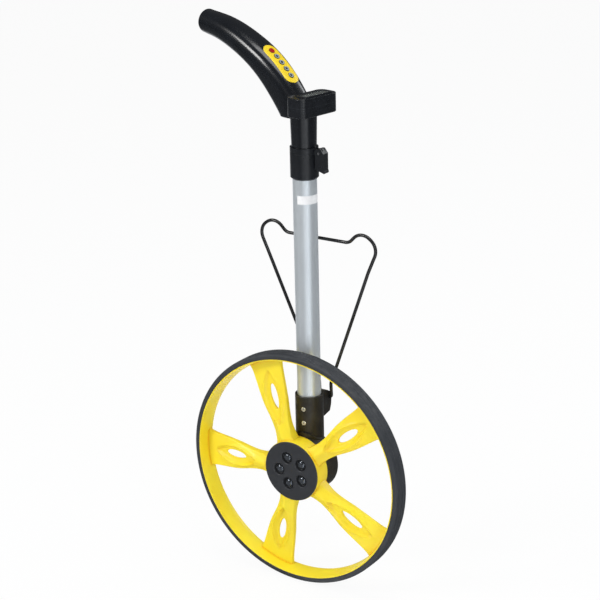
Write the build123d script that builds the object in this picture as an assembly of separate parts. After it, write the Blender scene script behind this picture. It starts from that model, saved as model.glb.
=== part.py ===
from build123d import *
import math
import os

# Electronic measuring wheel, collapsed, with its kickstand folded. Millimetres.
# The origin is the tyre's contact with the ground: +X forward, +Y along the axle away
# from the hub cap, +Z up. The pole stands beside the wheel on its +Y side.
# Heights are counted from the wheel's centre, except in raw 3D points, which add WHEEL_Z.

# ---------------------------------------------------------------- driving dimensions
TYRE_R = 159.0               # 1 m circumference
WHEEL_Z = TYRE_R
WHEEL_W = 24.4
SPOKES = 5
SPOKE_ANGLE = 38.2           # first spoke, degrees from +X towards +Z
SHAFT_R = 4.0
POLE_Y = 30.8
POLE_R, POLE_WALL = 15.5, 1.5
LOWER_TUBE_TOP = 405
INNER_R, INNER_WALL = 12.5, 1.2
SOCKET_Z0, SOCKET_Z1 = 425.9, 468.5
UPPER_TWIST = -10.0          # turn of the upper assembly about the round pole
WIRE_R = 2.2                 # kickstand
CORD_R = 1.2
LEAD_X, LEAD_HOLE_R = 3.0, 2.4

# display housing: the case is below SPLIT_Z and the bezel above it
CASE_X0, CASE_X1, CASE_Y0, CASE_Y1 = -0.7, 30.3, -2.2, 63.8
CASE_Z0, SPLIT_Z, BEZEL_Z1 = SOCKET_Z1 + 0.1, 481.0, 492.8
CASE_WALL, CASE_CORNER_R = 2.2, 10

os.makedirs("parts", exist_ok=True)


# ---------------------------------------------------------------- helpers
def pole_turn(angle):
    """Rotation about the pole's axis."""
    return Pos(0, POLE_Y, 0) * Rot(0, 0, angle) * Pos(0, -POLE_Y, 0)


UPPER_TURN = pole_turn(UPPER_TWIST)


def largest(shape):
    """The one solid of a result, or the biggest when slivers are left."""
    return max(shape.solids(), key=lambda s: s.volume)


def put(name, *shapes, turn=Location()):
    """Writes a piece, one solid for each shape."""
    solids = [turn * largest(s) for s in shapes]
    piece = solids[0] if len(solids) == 1 else Compound(children=solids)
    export_step(piece, f"parts/{name}.step")


def put_upper(name, *shapes):
    """Writes a piece that turns with the inner tube."""
    put(name, *shapes, turn=UPPER_TURN)


def rod(origin, direction, radius, length):
    return extrude(Plane(origin=origin, z_dir=direction) * Circle(radius), amount=length)


def rod_y(radius, y0, y1, x=0.0, z=0.0):
    return rod((x, y0, WHEEL_Z + z), (0, 1, 0), radius, y1 - y0)


def rod_z(radius, z0, z1, x=0.0, y=POLE_Y):
    return rod((x, y, WHEEL_Z + z0), (0, 0, 1), radius, z1 - z0)


def block(x0, x1, y0, y1, z0, z1):
    centre = Pos((x0 + x1) / 2, (y0 + y1) / 2, WHEEL_Z + (z0 + z1) / 2)
    return centre * Box(x1 - x0, y1 - y0, z1 - z0)


def spin(points):
    """Revolves a closed (radius, y) polygon round the wheel's axis."""
    face = make_face(Polyline(*points, close=True))
    return Pos(0, 0, WHEEL_Z) * revolve(face, axis=Axis.Y, revolution_arc=360)


def polar(radius, degrees):
    angle = math.radians(degrees)
    return radius * math.cos(angle), radius * math.sin(angle)


def bends(points, radii):
    """Lines through points, joined by an arc of the given radius at each inner corner."""
    edges = []
    start = Vector(*points[0])
    for i, radius in enumerate(radii, 1):
        before, corner, after = [Vector(*p) for p in points[i - 1:i + 2]]
        back, ahead = (before - corner).normalized(), (after - corner).normalized()
        half_angle = math.acos(max(-1, min(1, back.dot(ahead)))) / 2
        setback = radius / math.tan(half_angle)
        arc_start, arc_end = corner + back * setback, corner + ahead * setback
        bisector = (back + ahead).normalized()
        middle = corner + bisector * (radius / math.sin(half_angle) - radius)
        edges += [Line(start, arc_start), ThreePointArc(arc_start, middle, arc_end)]
        start = arc_end
    edges.append(Line(start, Vector(*points[-1])))
    return edges


# ---------------------------------------------------------------- tyre, rim, hub and spokes
RIM_R = 151.8
RIM_IN_CAP_R, RIM_IN_POLE_R = 150.2, 147.2      # inside radius on the -Y and +Y sides
RIB_R, RIB_Y = 153.6, 2.5                       # rim's rib in the tyre's groove
HALF_W = WHEEL_W / 2
RIM_Y = HALF_W - 0.4
HUB_R, HUB_Y0, HUB_Y1 = 41.0, -14.0, 9.5
HUB_BORE_R, HUB_WEB_Y = 12.0, -4.0
CAP_BACK_Y = -10.0
SCREW_ANGLES = [SPOKE_ANGLE + 360 / SPOKES * k for k in range(SPOKES)]
CAP_SCREWS = [polar(18.8, angle) for angle in SCREW_ANGLES]

put("tyre", spin([
    (RIM_R, -RIM_Y), (152.6, -HALF_W), (157.0, -HALF_W), (158.6, -HALF_W + 1.7),
    (TYRE_R, -HALF_W + 3.2), (TYRE_R, HALF_W - 3.2), (158.6, HALF_W - 1.7),
    (157.0, HALF_W), (152.6, HALF_W), (RIM_R, RIM_Y),
    (RIM_R, RIB_Y), (RIB_R, RIB_Y), (RIB_R, -RIB_Y), (RIM_R, -RIB_Y)]))

rim = spin([
    (RIM_IN_CAP_R, -RIM_Y), (RIM_R, -RIM_Y), (RIM_R, -RIB_Y), (RIB_R, -RIB_Y),
    (RIB_R, RIB_Y), (RIM_R, RIB_Y), (RIM_R, RIM_Y), (RIM_IN_POLE_R, RIM_Y),
    (RIM_IN_POLE_R, 6.0)])
hub = spin([
    (36.1, HUB_Y0), (HUB_R, HUB_Y0), (HUB_R, HUB_Y1), (34.5, HUB_Y1), (34.5, HUB_WEB_Y),
    (HUB_BORE_R, HUB_WEB_Y), (HUB_BORE_R, CAP_BACK_Y), (36.1, CAP_BACK_Y)])

# spoke outline: radius, half width
SPOKE = [(37.5, 12.0), (57, 12.2), (70, 13.6), (85, 17.0),
         (100, 20.0), (115, 21.8), (135, 23.6), (149.5, 26.0)]
# space the spokes lie in: radius, y
SPOKE_BAND = [(37.0, -13.0), (60, -9.5), (100, -3.2), (130, 1.5), (152, 3.5),
              (152, 10.5), (130, 9.0), (100, 7.0), (60, 7.0), (37.0, 8.0)]
HOLE_AT, HOLE_HALF_L, HOLE_HALF_W = 99.5, 17.2, 5.6
WHEEL_FACE = Plane(origin=(0, 30, WHEEL_Z), x_dir=(1, 0, 0), z_dir=(0, -1, 0))


def spoke_face():
    mirrored = [(r, -w) for r, w in SPOKE]
    outline = [Spline(*SPOKE), Line(SPOKE[-1], mirrored[-1]),
               Spline(*reversed(mirrored)), Line(SPOKE[0], mirrored[0])]
    return make_face(outline) - Pos(HOLE_AT, 0) * Ellipse(HOLE_HALF_L, HOLE_HALF_W)


def spoke(angle):
    return extrude(WHEEL_FACE * Rot(0, 0, angle) * spoke_face(), amount=60)


spokes = spoke(SCREW_ANGLES[0])
for angle in SCREW_ANGLES[1:]:
    spokes = spokes + spoke(angle)
spokes = (spokes & spin(SPOKE_BAND)) & rod_y(150.0, -20, 20)
wheel = rim + hub + spokes
for x, z in CAP_SCREWS:
    wheel = wheel - rod_y(2.5, -12, 0, x, z)
put("wheel_rim", wheel)

# ---------------------------------------------------------------- hub cap and axle
CAP_R, CAP_FACE_Y, CAP_EDGE = 40.6, -15.6, 0.9
POCKET_R, POCKET_Y = 7.2, -11.6
HEAD_R, HEAD_Y = 5.4, -13.2                     # screw head; its dome starts at HEAD_Y

cap = spin([
    (0, CAP_FACE_Y), (CAP_R - CAP_EDGE, CAP_FACE_Y), (CAP_R, CAP_FACE_Y + CAP_EDGE),
    (CAP_R, HUB_Y0), (36.0, HUB_Y0), (36.0, CAP_BACK_Y), (0, CAP_BACK_Y)])
screws = []
for x, z in CAP_SCREWS:
    cap = cap - rod_y(POCKET_R, -16, POCKET_Y, x, z) - rod_y(2.5, -12, -9, x, z)
    dome = Pos(x, HEAD_Y, WHEEL_Z + z) * Sphere(HEAD_R) & rod_y(4.9, -15.0, -13.1, x, z)
    screw = rod_y(HEAD_R, HEAD_Y, POCKET_Y - 0.02, x, z) + dome + rod_y(2.4, -11.7, -0.8, x, z)
    socket_plane = Plane(origin=(x, -16, WHEEL_Z + z), z_dir=(0, 1, 0))
    screws.append(screw - extrude(socket_plane * RegularPolygon(1.9, 6), amount=3.0))
put("hub_cap", cap)
put("hub_cap_screws", *screws)

CLIP_GROOVE_R, CLIP_Y0, CLIP_Y1 = 3.55, 30.52, 31.34
axle = spin([
    (0, -9.4), (11.95, -9.4), (11.95, -3.98), (26, -3.98), (26, 0), (6.0, 0), (6.0, 11.48),
    (SHAFT_R, 11.48), (SHAFT_R, CLIP_Y0), (CLIP_GROOVE_R, CLIP_Y0), (CLIP_GROOVE_R, CLIP_Y1),
    (SHAFT_R, CLIP_Y1), (SHAFT_R - 0.3, 32.1), (0, 32.1)])
for x, z in CAP_SCREWS:
    axle = axle - rod_y(2.42, -5, 1, x, z)
put("axle", axle)

# ---------------------------------------------------------------- pieces on the shaft
ON_SHAFT_R = SHAFT_R + 0.01
BEARING_R, BEARING_W = 11.0, 7.0                # 8 x 22 x 7 bearings
BEARING_Y = (11.5, 20.5)
BALL_R, BALL_RING_R, BALLS = 1.98, 7.5, 7


def tube_y(inside_r, outside_r, y0, y1):
    return spin([(inside_r, y0), (outside_r, y0), (outside_r, y1), (inside_r, y1)])


def put_bearing(name, y0):
    y1, mid_y = y0 + BEARING_W, y0 + BEARING_W / 2
    groove = Pos(0, mid_y, WHEEL_Z) * Rot(90, 0, 0) * Torus(BALL_RING_R, BALL_R + 0.03)
    cage = tube_y(7.0, 8.0, mid_y - 2.7, mid_y + 2.7)
    balls = []
    for k in range(BALLS):
        angle = 360 / BALLS * k + 12
        x, z = polar(BALL_RING_R, angle)
        balls.append(Pos(x, mid_y, WHEEL_Z + z) * Sphere(BALL_R))
        start_x, start_z = polar(5, angle)
        cage = cage - rod((start_x, mid_y, WHEEL_Z + start_z), (x, 0, z), BALL_R + 0.06, 5)
    put(name + "_bearing_outer_ring", tube_y(8.9, BEARING_R, y0, y1) - groove)
    put(name + "_bearing_inner_ring", tube_y(ON_SHAFT_R, 6.1, y0, y1) - groove)
    put(name + "_bearing_cage", cage)
    put(name + "_bearing_balls", *balls)


put_bearing("front", BEARING_Y[0])
put_bearing("rear", BEARING_Y[1])
put("bearing_spacer", tube_y(ON_SHAFT_R, 5.9, BEARING_Y[0] + BEARING_W, BEARING_Y[1]))

ENCODER_SLOTS = 24
encoder = spin([
    (ON_SHAFT_R, 27.5), (7.5, 27.5), (7.5, 28.7), (29.0, 28.7),
    (29.0, 29.4), (7.5, 29.4), (7.5, 30.5), (ON_SHAFT_R, 30.5)])


def encoder_slot(k):
    turn = Rot(0, 360 / ENCODER_SLOTS * k, 0)
    return Pos(0, 29.05, WHEEL_Z) * turn * Pos(25.0, 0, 0) * Box(5.0, 3, 2.6)


slots = encoder_slot(0)
for k in range(1, ENCODER_SLOTS):
    slots = slots + encoder_slot(k)
put("encoder_disc", encoder - slots)
put("axle_circlip", tube_y(CLIP_GROOVE_R + 0.03, 6.3, CLIP_Y0 + 0.02, CLIP_Y1 - 0.02)
    - block(-1.6, 1.6, 30, 32, -8, 0))

# ---------------------------------------------------------------- arm bracket
DRUM_R, DRUM_WALL, DRUM_Y0, DRUM_Y1 = 40.5, 2.5, 10.0, 35.0
DRUM_IN_R = DRUM_R - DRUM_WALL
SADDLE_R = 22.0
SLEEVE_R, SLEEVE_Z0, SLEEVE_Z1 = 18.6, 32.6, 94.5
COVER_Y = 32.7                                  # -Y face of the drum cover
COVER_SCREWS = [polar(34.0, angle) for angle in (30, 150, 270)]
BOARD_SCREWS = ((-18, -21), (21, -19.5))        # x, z
BOARD_Y0, BOARD_Y1 = 14.0, 15.6
STAND_Y, STAND_Z = 70.0, 77.0                   # kickstand pivot
RIVET_Z = (78.2, 58.9)
RIVET_TURN = pole_turn(9.0)
RIVET_HOLES = [RIVET_TURN * rod_y(1.62, 5, 19, z=z) for z in RIVET_Z]
# limit of the saddle round the drum: radius, y
SADDLE_LIMIT = [(0, DRUM_Y0 + 0.25), (46.4, DRUM_Y0 + 0.25), (46.0, 12.2), (42.4, 20.0),
                (40.6, 27.0), (40.4, 35.0), (0, 35.0)]
# kickstand lug outline: y, z
LUG = [(40, 91.5), (57, 91.5), (66, 87.5), (73.2, 82.5), (74.6, 79.5),
       (74.6, 74.5), (73.4, 65), (70.4, 57), (55, 54), (40, 53)]
LUG_W = 12

drum = rod_y(DRUM_R, DRUM_Y0, DRUM_Y1)
saddle = rod_z(SADDLE_R, 20, 60) & spin(SADDLE_LIMIT)
web = rod_y(38.6, COVER_Y, DRUM_Y1) & block(-40, 40, 32, 36, SLEEVE_Z0, 40)
sleeve = rod_z(SLEEVE_R, SLEEVE_Z0, SLEEVE_Z1)
lug_plane = Plane(origin=(-LUG_W / 2, 0, WHEEL_Z), x_dir=(0, 1, 0), z_dir=(1, 0, 0))
lug = extrude(lug_plane * make_face(Polyline(*LUG, close=True)), amount=LUG_W)
bracket = drum + saddle + sleeve + lug
drum_inside = rod_y(DRUM_IN_R, DRUM_Y0 + DRUM_WALL, DRUM_Y1)
bracket = (bracket - drum_inside) + web - rod_z(POLE_R + 0.02, 44, 120)
bracket = bracket + rod_y(14.0, DRUM_Y0 + 1, 28.0)      # bearing boss
for x, z in COVER_SCREWS:
    post = rod_y(3.6, DRUM_Y0 + 1, COVER_Y - 0.05, x, z)
    bracket = bracket + (post & rod_y(39.0, 0, 40))
bracket = bracket - rod_y(BEARING_R, BEARING_Y[0], 40) - rod_y(9.0, 5, 15)
for x, z in COVER_SCREWS:
    bracket = bracket - rod_y(1.26, 22, 40, x, z)
for x, z in BOARD_SCREWS:
    bracket = bracket + rod_y(2.8, 11.5, BOARD_Y0 - 0.02, x, z) - rod_y(1.02, 11.2, 20, x, z)
bracket = bracket - rod_z(2.2, 30, 50, y=24)            # passage for the sensor lead
for rivet_hole in RIVET_HOLES:
    bracket = bracket - rivet_hole
bracket = bracket - rod((-20, STAND_Y, WHEEL_Z + STAND_Z), (1, 0, 0), WIRE_R + 0.05, 40)
put("arm_bracket", bracket)

# ---------------------------------------------------------------- drum cover and sensor
cover = rod_y(DRUM_IN_R - 0.1, COVER_Y, DRUM_Y1) - block(-40, 40, 30, 36, SLEEVE_Z0 - 0.1, 40)
screws = []
for x, z in COVER_SCREWS:
    cover = cover - rod_y(1.5, 30, 40, x, z)
    screw = rod_y(2.8, DRUM_Y1 + 0.02, 36.8, x, z) + rod_y(1.24, 24, 35.1, x, z)
    screws.append(screw - Pos(x, 37, WHEEL_Z + z) * Box(0.7, 1.6, 3.6))
put("drum_cover", cover)
put("drum_cover_screws", *screws)

board = block(-24, 25, BOARD_Y0, BOARD_Y1, -30, -16) & rod_y(37.6, 0, 40)
screws = []
for x, z in BOARD_SCREWS:
    board = board - rod_y(1.2, 10, 20, x, z)
    screws.append(rod_y(2.1, BOARD_Y1 + 0.02, 17.0, x, z) + rod_y(1.0, 11.3, 15.7, x, z))
put("sensor_board", board)
put("sensor_board_screws", *screws)
# the encoder disc runs in the sensor's slot
put("optical_sensor", block(9, 15, BOARD_Y1 + 0.02, 31.6, -30.5, -20)
    - block(8, 16, 28.1, 30.0, -28, -10))

# ---------------------------------------------------------------- rivets and pole
sleeve_face_y = POLE_Y - SLEEVE_R
rivets = []
for z in RIVET_Z:
    rivet = rod_y(2.95, sleeve_face_y - 0.85, sleeve_face_y + 0.25, z=z)
    outer_edge = rivet.edges().filter_by(GeomType.CIRCLE).sort_by(Axis.Y)[0]
    rivet = chamfer(outer_edge, 0.4) - rod_z(SLEEVE_R, 0, 120)
    rivet = rivet + rod_y(1.6, sleeve_face_y - 0.3, sleeve_face_y + 5.7, z=z)
    rivets.append(RIVET_TURN * (rivet - rod_y(1.0, 5, 25, z=z)))
put("tube_rivets", *rivets)

lower_tube = rod_z(POLE_R, 44.2, LOWER_TUBE_TOP) - rod_z(POLE_R - POLE_WALL, 40, 410)
for rivet_hole in RIVET_HOLES:
    lower_tube = lower_tube - rivet_hole
put("lower_tube", lower_tube)

label = rod_z(POLE_R + 0.12, 353.7, 364.7) - rod_z(POLE_R + 0.01, 340, 370)
sector_points = [(0, 0)] + [polar(40, angle) for angle in range(-95, 36, 13)]
sector = make_face(Polyline(*sector_points, close=True))
put("tube_label", label & extrude(Pos(0, POLE_Y, WHEEL_Z + 340) * sector, amount=40))

SOCKET_SCREW_Z = 445
socket_drill = rod_y(1.52, POLE_Y + 5, POLE_Y + 35, z=SOCKET_SCREW_Z)
inner_tube = rod_z(INNER_R, 110, 460) - rod_z(INNER_R - INNER_WALL, 100, 470)
put_upper("inner_tube", inner_tube - socket_drill)
put_upper("tube_glide", rod_z(13.9, 106, 124) - rod_z(INNER_R + 0.01, 110, 130)
          - rod_z(9.5, 100, 112))

# ---------------------------------------------------------------- flip-lock clamp
COLLAR_R, COLLAR_Z0, COLLAR_Z1 = 18.1, 384.6, 425.4
PIN_X, PIN_Z = 24.4, 419.5
EAR_R = 5.0
LEVER_W = 10.8
PAD_HALF_W, PAD_Z0, PAD_Z1 = 2.1, 415.9, 422.6  # the friction pad's opening
PAD_GAP = 0.05
# lever outline: x, z
LEVER = [(24.4, 425.6), (27.6, 425.6), (32, 419.6), (32, 399.0), (32.9, 396.2),
         (32.2, 394.4), (29.4, 395.6), (19.2, 398.6), (19.2, 412), (19.8, 415.5)]


def beside_pole(side, near, far):
    """y range between two distances from the pole's axis, on side -1 or 1."""
    return sorted((POLE_Y + side * near, POLE_Y + side * far))


def pin_rod(radius, half_length):
    return rod_y(radius, POLE_Y - half_length, POLE_Y + half_length, PIN_X, PIN_Z)


collar = rod_z(COLLAR_R, COLLAR_Z0, COLLAR_Z1)
collar = chamfer(collar.edges().filter_by(GeomType.CIRCLE).sort_by(Axis.Z)[0], 2.2)
collar = collar - (rod_z(COLLAR_R + 1, 417.9, 418.6) - rod_z(COLLAR_R - 0.5, 417, 419))
for side in (-1, 1):
    y0, y1 = beside_pole(side, 2.2, 3.9)
    collar = collar + block(14, PIN_X, y0, y1, PIN_Z - EAR_R, PIN_Z + EAR_R)
    collar = collar + rod_y(EAR_R, y0, y1, PIN_X, PIN_Z)
collar = collar - rod_z(POLE_R + 0.02, 370, LOWER_TUBE_TOP + 0.1)
collar = collar - rod_z(INNER_R + 0.12, 400, 430)
collar = collar - pin_rod(1.5, 10)
collar = collar - block(5, 24, POLE_Y - PAD_HALF_W, POLE_Y + PAD_HALF_W, PAD_Z0, PAD_Z1)
put("clamp_collar", collar)

pad_y = PAD_HALF_W - PAD_GAP
pad = block(5, 17.95, POLE_Y - pad_y, POLE_Y + pad_y, PAD_Z0 + PAD_GAP, PAD_Z1 - PAD_GAP)
put("friction_pad", pad - rod_z(INNER_R + 0.05, 400, 430))
put("lever_pin", pin_rod(1.49, 5.3))

lever_plane = Plane(origin=(0, POLE_Y + LEVER_W / 2, WHEEL_Z), x_dir=(1, 0, 0),
                    z_dir=(0, -1, 0))
lever_face = make_face(Polyline(*LEVER, close=True)) + Pos(PIN_X - 0.4, PIN_Z) * Circle(5.6)
lever = extrude(lever_plane * lever_face, amount=LEVER_W)
lever = lever - block(10, 29.8, POLE_Y - 4.0, POLE_Y + 4.0, 380, PIN_Z - 5.15)
for side in (-1, 1):
    lever = lever - block(10, 29.8, *beside_pole(side, 2.1, 4.0), PIN_Z - 5.3, 430)
put("clamp_lever", lever - pin_rod(1.55, 10))

# ---------------------------------------------------------------- kickstand wire
pivot_z = WHEEL_Z + STAND_Z
# corners of the +X half, from the pivot; the -X half mirrors them
stand_half = [
    (0.6, STAND_Y, pivot_z), (9.0, STAND_Y, pivot_z), (9.0, 69.0, pivot_z + 20),
    (75.5, 57.8, WHEEL_Z + 264), (91.5, 57.0, WHEEL_Z + 300),
    (65.6, 56.8, WHEEL_Z + 318), (47.9, 56.8, WHEEL_Z + 299.6)]
stand_radii = [3.2, 12, 40, 17.5, 17.5, 12]
stand_points = stand_half + [(-x, y, z) for x, y, z in reversed(stand_half)]
stand_path = Wire(bends(stand_points, stand_radii + stand_radii[::-1]))
stand_section = Plane(origin=stand_half[0], z_dir=(1, 0, 0)) * Circle(WIRE_R)
put("kickstand_wire", sweep(stand_section, path=stand_path))


# ---------------------------------------------------------------- handle socket
def pole_cone(radius0, z0, radius1, z1):
    return loft([Plane(origin=(0, POLE_Y, WHEEL_Z + z)) * Circle(radius)
                 for radius, z in ((radius0, z0), (radius1, z1))])


socket = pole_cone(16.0, SOCKET_Z0, 17.0, SOCKET_Z1)
socket = socket - rod_z(INNER_R + 0.02, 420, 460.05) - rod_z(LEAD_HOLE_R, 455, 472, x=LEAD_X)
socket = socket - socket_drill - rod_y(3.0, POLE_Y + 14.4, POLE_Y + 19.4, z=SOCKET_SCREW_Z)
put_upper("handle_socket", socket)
put_upper("socket_screw", rod_y(2.8, POLE_Y + 14.42, POLE_Y + 15.92, z=SOCKET_SCREW_Z)
          + rod_y(1.5, POLE_Y + 8.0, POLE_Y + 14.6, z=SOCKET_SCREW_Z))

# ---------------------------------------------------------------- handle shells
# stations along the handle's centre line, from the grip's end down to the socket:
# x, z, tangent's angle down from +X, half depth, half width, squareness
STATIONS = [
    (-172.0, 565.4, 8.0, 15.0, 14.8, 2.3),
    (-148.6, 561.4, 11.5, 15.3, 16.4, 2.3),
    (-120.9, 554.2, 18.5, 15.9, 18.4, 2.4),
    (-92.0, 541.9, 27.0, 16.2, 19.4, 2.6),
    (-65.7, 526.6, 34.5, 17.0, 19.8, 2.8),
    (-37.4, 501.8, 46.0, 19.3, 18.2, 3.0),
    (-22.0, 483.5, 54.0, 20.6, 16.8, 3.0),
    (-8.0, 461.0, 62.0, 21.0, 16.4, 3.0),
]
CAVITY_END = (-168.4, 564.9, 8.4, 14.9, 14.8, 2.3)
SHELL_WALL = 2.4
PARTING_GAP = 0.12


def down_slope(degrees):
    """Unit vector at an angle down from +X."""
    angle = math.radians(degrees)
    return math.cos(angle), 0, -math.sin(angle)


def below_slope(degrees):
    """Unit vector square to down_slope, pointing down."""
    angle = math.radians(degrees)
    return -math.sin(angle), 0, -math.cos(angle)


def station_plane(x, z, angle):
    return Plane(origin=(x, POLE_Y, WHEEL_Z + z), x_dir=(0, 1, 0), z_dir=down_slope(angle))


def oval_point(angle, half_width, half_depth, squareness):
    """Point of a superellipse."""
    def term(value):
        if abs(value) <= 1e-9:
            return 0.0
        return math.copysign(abs(value) ** (2 / squareness), value)
    return half_width * term(math.cos(angle)), half_depth * term(math.sin(angle))


def full_section(station, inset):
    x, z, slope, depth, width, square = station
    count = 20
    points = [oval_point(2 * math.pi * (i + 0.5) / count - math.pi / 4,
                         width - inset, depth - inset, square) for i in range(count)]
    return station_plane(x, z, slope) * make_face(Spline(*points, periodic=True))


def half_section(station, side):
    """Upper half for side 1, lower half for side -1."""
    x, z, slope, depth, width, square = station
    count = 10
    points = [oval_point(math.pi * i / count, width, side * depth, square)
              for i in range(count + 1)]
    if side < 0:
        points[0], points[-1] = (points[0][0], -PARTING_GAP), (points[-1][0], -PARTING_GAP)
    outline = [Spline(*points), Line(points[-1], points[0])]
    return station_plane(x, z, slope) * make_face(outline)


# the rounded end of the grip, joined to a slab that keeps the rest of the handle
end_x, end_z, end_slope = STATIONS[0][:3]
end_plane = Plane(origin=(end_x, POLE_Y, WHEEL_Z + end_z), z_dir=down_slope(end_slope))
grip_end = extrude(end_plane * Circle(15.6), amount=13)
grip_end = fillet(grip_end.edges().filter_by(GeomType.CIRCLE).sort_by(Axis.X)[0], 6.5)
end_limit = grip_end + extrude(end_plane * Pos(0, 0, 12.5) * Rectangle(200, 200), amount=240)

cavity = loft([full_section(s, SHELL_WALL) for s in [CAVITY_END] + STATIONS[1:]])
housing_cut = (block(CASE_X0 - 0.05, 60, -40, 100, 400, BEZEL_Z1 + 0.15)
               + block(-60, 60, -40, 100, 400, 462) + block(10.3, 60, -40, 100, 480, 520))
socket_cut = pole_cone(16.75, 450, 17.05, SOCKET_Z1 + 0.05)


def solid_half(side):
    blank = loft([half_section(s, side) for s in STATIONS]) & end_limit
    return largest(blank - housing_cut - socket_cut)


upper_half, lower_half = solid_half(1), solid_half(-1)
top_shell = largest(upper_half - cavity)
bottom_shell = largest(lower_half - cavity)

# ---------------------------------------------------------------- button panel
# Panel frame: x along the handle down towards the display, y across, z outward.
PANEL_SLOPE = 39.7
PANEL_OUT = tuple(-c for c in below_slope(PANEL_SLOPE))
PANEL = Plane(origin=(-35.6, POLE_Y, WHEEL_Z + 526.1), x_dir=down_slope(PANEL_SLOPE),
              z_dir=PANEL_OUT)
PANEL_L, PANEL_W = 64, 21
BUTTON_PITCH, BUTTON_R = 10.53, 3.9
BUTTONS = ["power", "mode", "unit", "hold", "clear"]


def panel_rod(along, radius, z0, z1):
    return extrude(PANEL * Pos(along, 0, z0) * Circle(radius), amount=z1 - z0)


def panel_block(x0, x1, y0, y1, z0, z1):
    centre = Pos((x0 + x1) / 2, (y0 + y1) / 2, (z0 + z1) / 2)
    return PANEL * centre * Box(x1 - x0, y1 - y0, z1 - z0)


crown = loft([full_section(s, -0.35) for s in STATIONS[1:]])
panel = extrude(PANEL * Pos(0, 0, -3.0) * SlotOverall(PANEL_L, PANEL_W), amount=8)
panel = largest(panel & crown)
panel_slot = SlotOverall(PANEL_L + 0.04, PANEL_W + 0.04)
top_shell = top_shell - extrude(PANEL * Pos(0, 0, -9) * panel_slot, amount=20)
switches = []
for i, name in enumerate(BUTTONS):
    along = BUTTON_PITCH * (i - 2)
    drop = -along * along / 460.0       # the ridge falls away from the middle key
    panel = panel - panel_rod(along, BUTTON_R + 0.08, -5, 4)
    key = panel_rod(along, BUTTON_R, -3.2 + drop, 1.0 + drop)
    key = key + panel_rod(along, 4.6, -3.9 + drop, -3.1 + drop)
    rims = key.edges().filter_by(GeomType.CIRCLE)
    outer_rim = rims.sort_by(lambda e: e.center().dot(Vector(*PANEL_OUT)))[-1]
    key = chamfer(outer_rim, 0.3)
    put_upper(name + "_button", key - panel_rod(along, 2.1, 0.7 + drop, 2))
    switches.append(panel_block(along - 3, along + 3, -3, 3, -8.0, -6.4)
                    + panel_rod(along, 1.7, -6.5, -4.75 + drop))
put_upper("button_panel", panel)
put_upper("tact_switches", *switches)
put_upper("button_board", panel_block(-25, 25, -7, 7, -9.3, -8.02))

# ---------------------------------------------------------------- battery bay and shell screws
BAY_Z = -18.9             # handle's centre line in the panel frame
DOOR_HALF_L, DOOR_HALF_W, DOOR_GAP = 25, 12.5, 0.12
gap_l, gap_w = DOOR_HALF_L + DOOR_GAP, DOOR_HALF_W + DOOR_GAP
door_space = panel_block(-DOOR_HALF_L, DOOR_HALF_L, -DOOR_HALF_W, DOOR_HALF_W,
                         BAY_Z - 20, BAY_Z - 11)
door_opening = panel_block(-gap_l, gap_l, -gap_w, gap_w, BAY_Z - 22, BAY_Z - 10)
put_upper("battery_door", bottom_shell & door_space)

# x, z and the slope of the handle there
HANDLE_SCREWS = [STATIONS[1][:3], (-105.0, 547.9, 22.5)]
screws = []
for x, z, slope in HANDLE_SCREWS:
    screw_plane = Plane(origin=(x, POLE_Y, WHEEL_Z + z), z_dir=below_slope(slope))

    def screw_rod(radius, start, length):
        return extrude(screw_plane * Pos(0, 0, start) * Circle(radius), amount=length)

    bottom_shell = bottom_shell + (screw_rod(3.6, 0.1, 15.5) & lower_half)
    top_shell = top_shell + (screw_rod(3.6, -15.5, 15.4) & upper_half)
    bottom_shell = bottom_shell - screw_rod(2.9, 9.0, 20) - screw_rod(1.6, -1, 30)
    top_shell = top_shell - screw_rod(1.42, -9, 20)
    screws.append(screw_rod(2.7, 9.02, 1.6) + screw_rod(1.4, -7, 16.1))
put_upper("handle_screws", *screws)
put_upper("handle_top_shell", top_shell)
put_upper("handle_bottom_shell", bottom_shell - door_opening)

BATTERY_R, BATTERY_L = 5.2, 44.4
batteries, contacts = [], []
for y in (-5.6, 5.6):
    start = PANEL.from_local_coords((-BATTERY_L / 2, y, BAY_Z - 6.6))
    batteries.append(rod(start, down_slope(PANEL_SLOPE), BATTERY_R, BATTERY_L))
    for x in (-22.9, 22.9):
        contacts.append(panel_block(x - 0.3, x + 0.3, y - 3.6, y + 3.6,
                                    BAY_Z - 10.5, BAY_Z - 2.5))
put_upper("batteries", *batteries)
put_upper("battery_contacts", *contacts)


# ---------------------------------------------------------------- display housing
def round_block(x0, x1, y0, y1, z0, z1, radius):
    """Block with its upright edges rounded."""
    centre = Pos((x0 + x1) / 2, (y0 + y1) / 2, WHEEL_Z + z0)
    return extrude(centre * RectangleRounded(x1 - x0, y1 - y0, radius), amount=z1 - z0)


def housing_block(inset, z0, z1):
    return round_block(CASE_X0 + inset, CASE_X1 - inset, CASE_Y0 + inset, CASE_Y1 - inset,
                       z0, z1, CASE_CORNER_R - inset)


case = (housing_block(0, CASE_Z0, SPLIT_Z)
        - housing_block(CASE_WALL, CASE_Z0 + CASE_WALL, SPLIT_Z + 1))
case = fillet(case.edges().group_by(Axis.Z)[0], 1.0)
bezel = housing_block(0, SPLIT_Z, BEZEL_Z1)
bezel = fillet(bezel.edges().group_by(Axis.Z)[-1], 1.2)
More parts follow.
